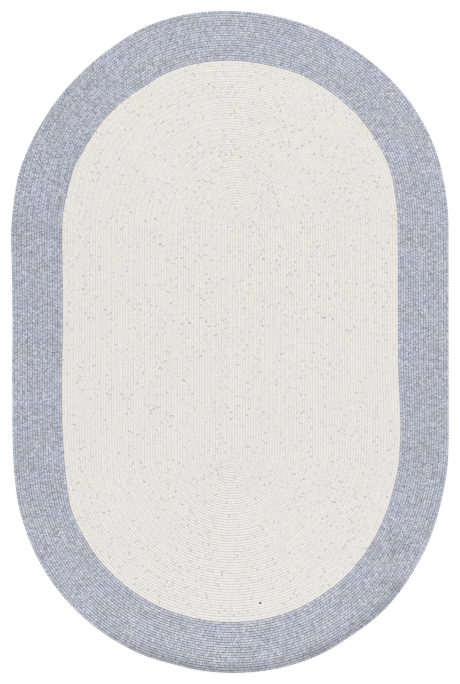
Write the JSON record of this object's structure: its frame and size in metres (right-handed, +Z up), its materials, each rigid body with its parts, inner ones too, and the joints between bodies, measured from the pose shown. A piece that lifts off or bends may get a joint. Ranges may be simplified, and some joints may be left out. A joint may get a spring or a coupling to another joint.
{
  "type": "braided rug",
  "caption": "Flat oval braided rug, a cream coiled field inside a heathered blue-grey border, for lying on a floor.",
  "frame": {"origin": "centre of the rug's outline, on the floor that it lies on", "axes": "+Y along the rug's length, towards the round end where the coil's first braid starts; +X across it; +Z up out of its face"},
  "size_m": [1.2202, 1.8486, 0.009],
  "materials": {
    "cream_braid": "matte cream yarn with fine grey flecks, in flat three-strand braids laced edge to edge",
    "blue_grey_braid": "matte heathered blue-grey yarn, light and dark, in flat three-strand braids laced edge to edge"
  },
  "bodies": {
    "root": {"field": "cream_braid", "border": "blue_grey_braid"}
  },
  "joints": []
}
